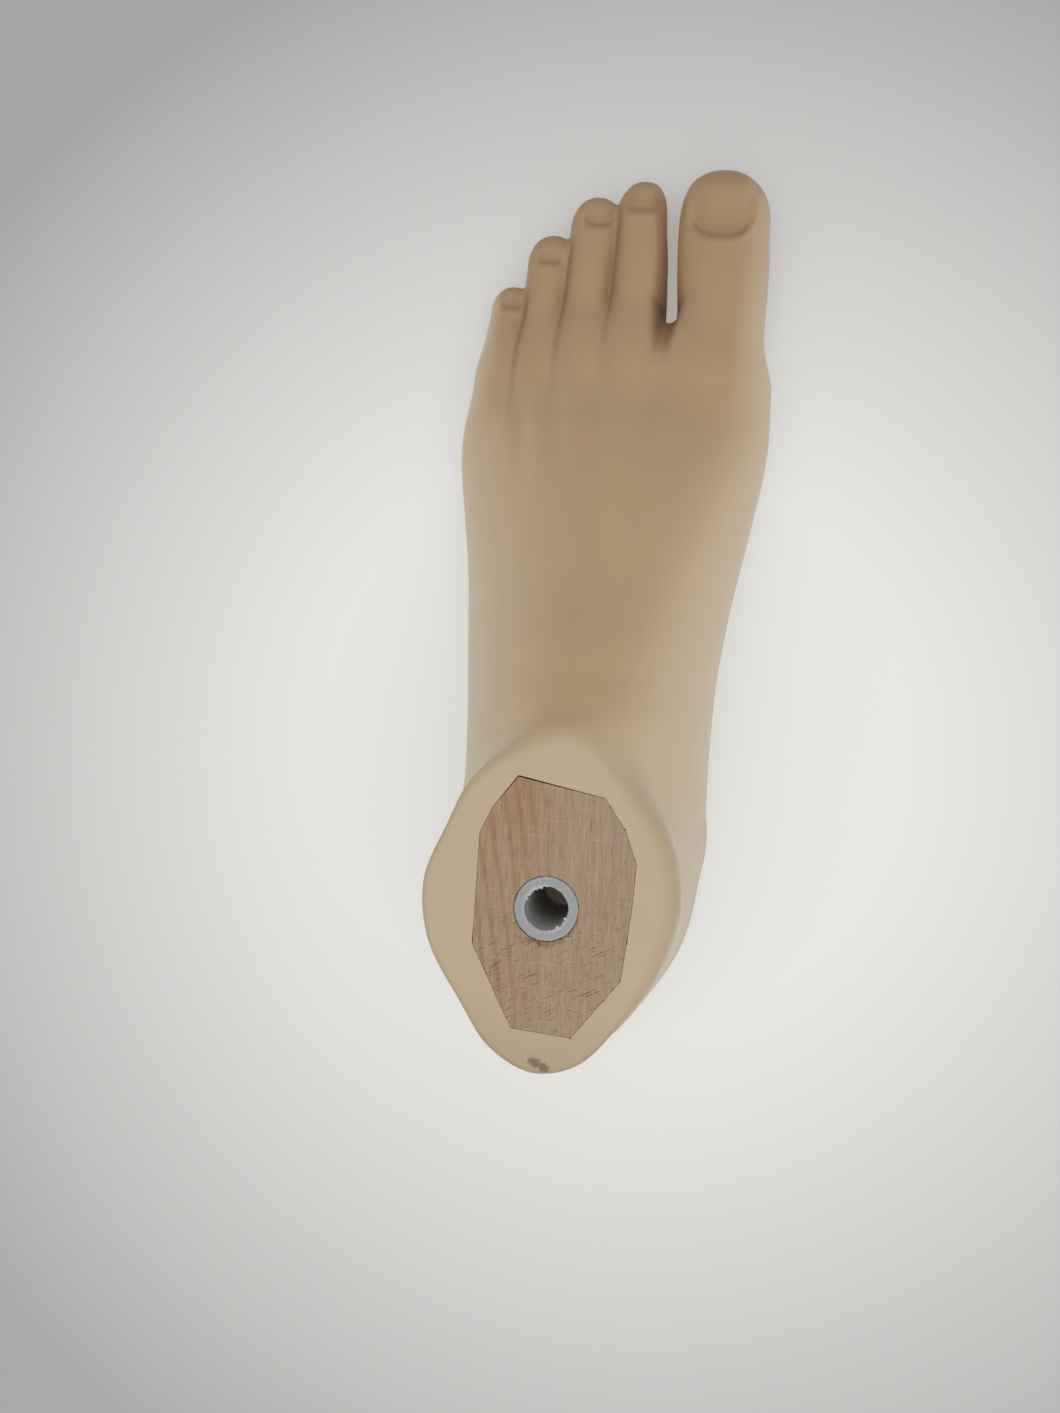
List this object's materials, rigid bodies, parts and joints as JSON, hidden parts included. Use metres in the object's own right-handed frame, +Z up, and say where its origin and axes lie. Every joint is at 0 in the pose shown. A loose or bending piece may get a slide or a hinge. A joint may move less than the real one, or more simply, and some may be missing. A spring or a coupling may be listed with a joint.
{
  "type": "prosthetic foot",
  "caption": "Left solid-ankle cushion-heel prosthetic foot: a hardwood keel in a moulded foam foot with a split great toe, for a central foot bolt.",
  "frame": {"origin": "middle of the bounding box at the floor, under the arch", "axes": "+Z up through the ankle face, +Y from heel to toes, +X to the great toe's side"},
  "size_m": [0.0905, 0.2605, 0.078],
  "materials": {
    "foam": "satin skin of moulded polyurethane foam",
    "keel_wood": "sawn and sanded hardwood, unvarnished",
    "sleeve_plastic": "light grey extruded plastic, cut end",
    "steel": "zinc plated",
    "soft_cushion": "open soft foam rubber",
    "firm_cushion": "closed-cell crepe rubber",
    "belt_webbing": "woven polyester",
    "plug_rubber": "moulded, matt"
  },
  "bodies": {
    "root": {"keel": "keel_wood", "bolt_sleeve": "sleeve_plastic", "bolt_washer": "steel", "foam_main": "foam", "lower_tack_1": "steel", "lower_tack_2": "steel", "lower_tack_3": "steel", "upper_tack_1": "steel", "upper_tack_2": "steel", "upper_tack_3": "steel"},
    "toes": {"foam_toes": "foam", "foam_toe_break": "foam", "lower_belt": "belt_webbing", "upper_belt": "belt_webbing"},
    "heel": {"foam_heel_tread": "foam", "foam_heel_wall": "foam", "heel_cushion_lower": "firm_cushion", "heel_cushion_upper": "soft_cushion"},
    "plug": {"sole_plug": "plug_rubber"}
  },
  "joints": [
    {"name": "toe_flex", "type": "hinge", "parent": "root", "child": "toes", "pos_m": [0, 0.054, 0.012], "axis": [1, 0, 0], "range_deg": [-5, 30], "stiffness_Nm_per_rad": 30, "deforming": ["foam_toe_break", "lower_belt", "upper_belt"]},
    {"name": "heel_compression", "type": "hinge", "parent": "root", "child": "heel", "pos_m": [0, -0.062, 0.0106], "axis": [-1, 0, 0], "range_deg": [0, 8], "stiffness_Nm_per_rad": 60, "deforming": ["foam_heel_wall", "heel_cushion_lower", "heel_cushion_upper"]},
    {"name": "plug_pull", "type": "slide", "parent": "heel", "child": "plug", "axis": [0, 0, -1], "range_m": [0, 0.02]}
  ]
}
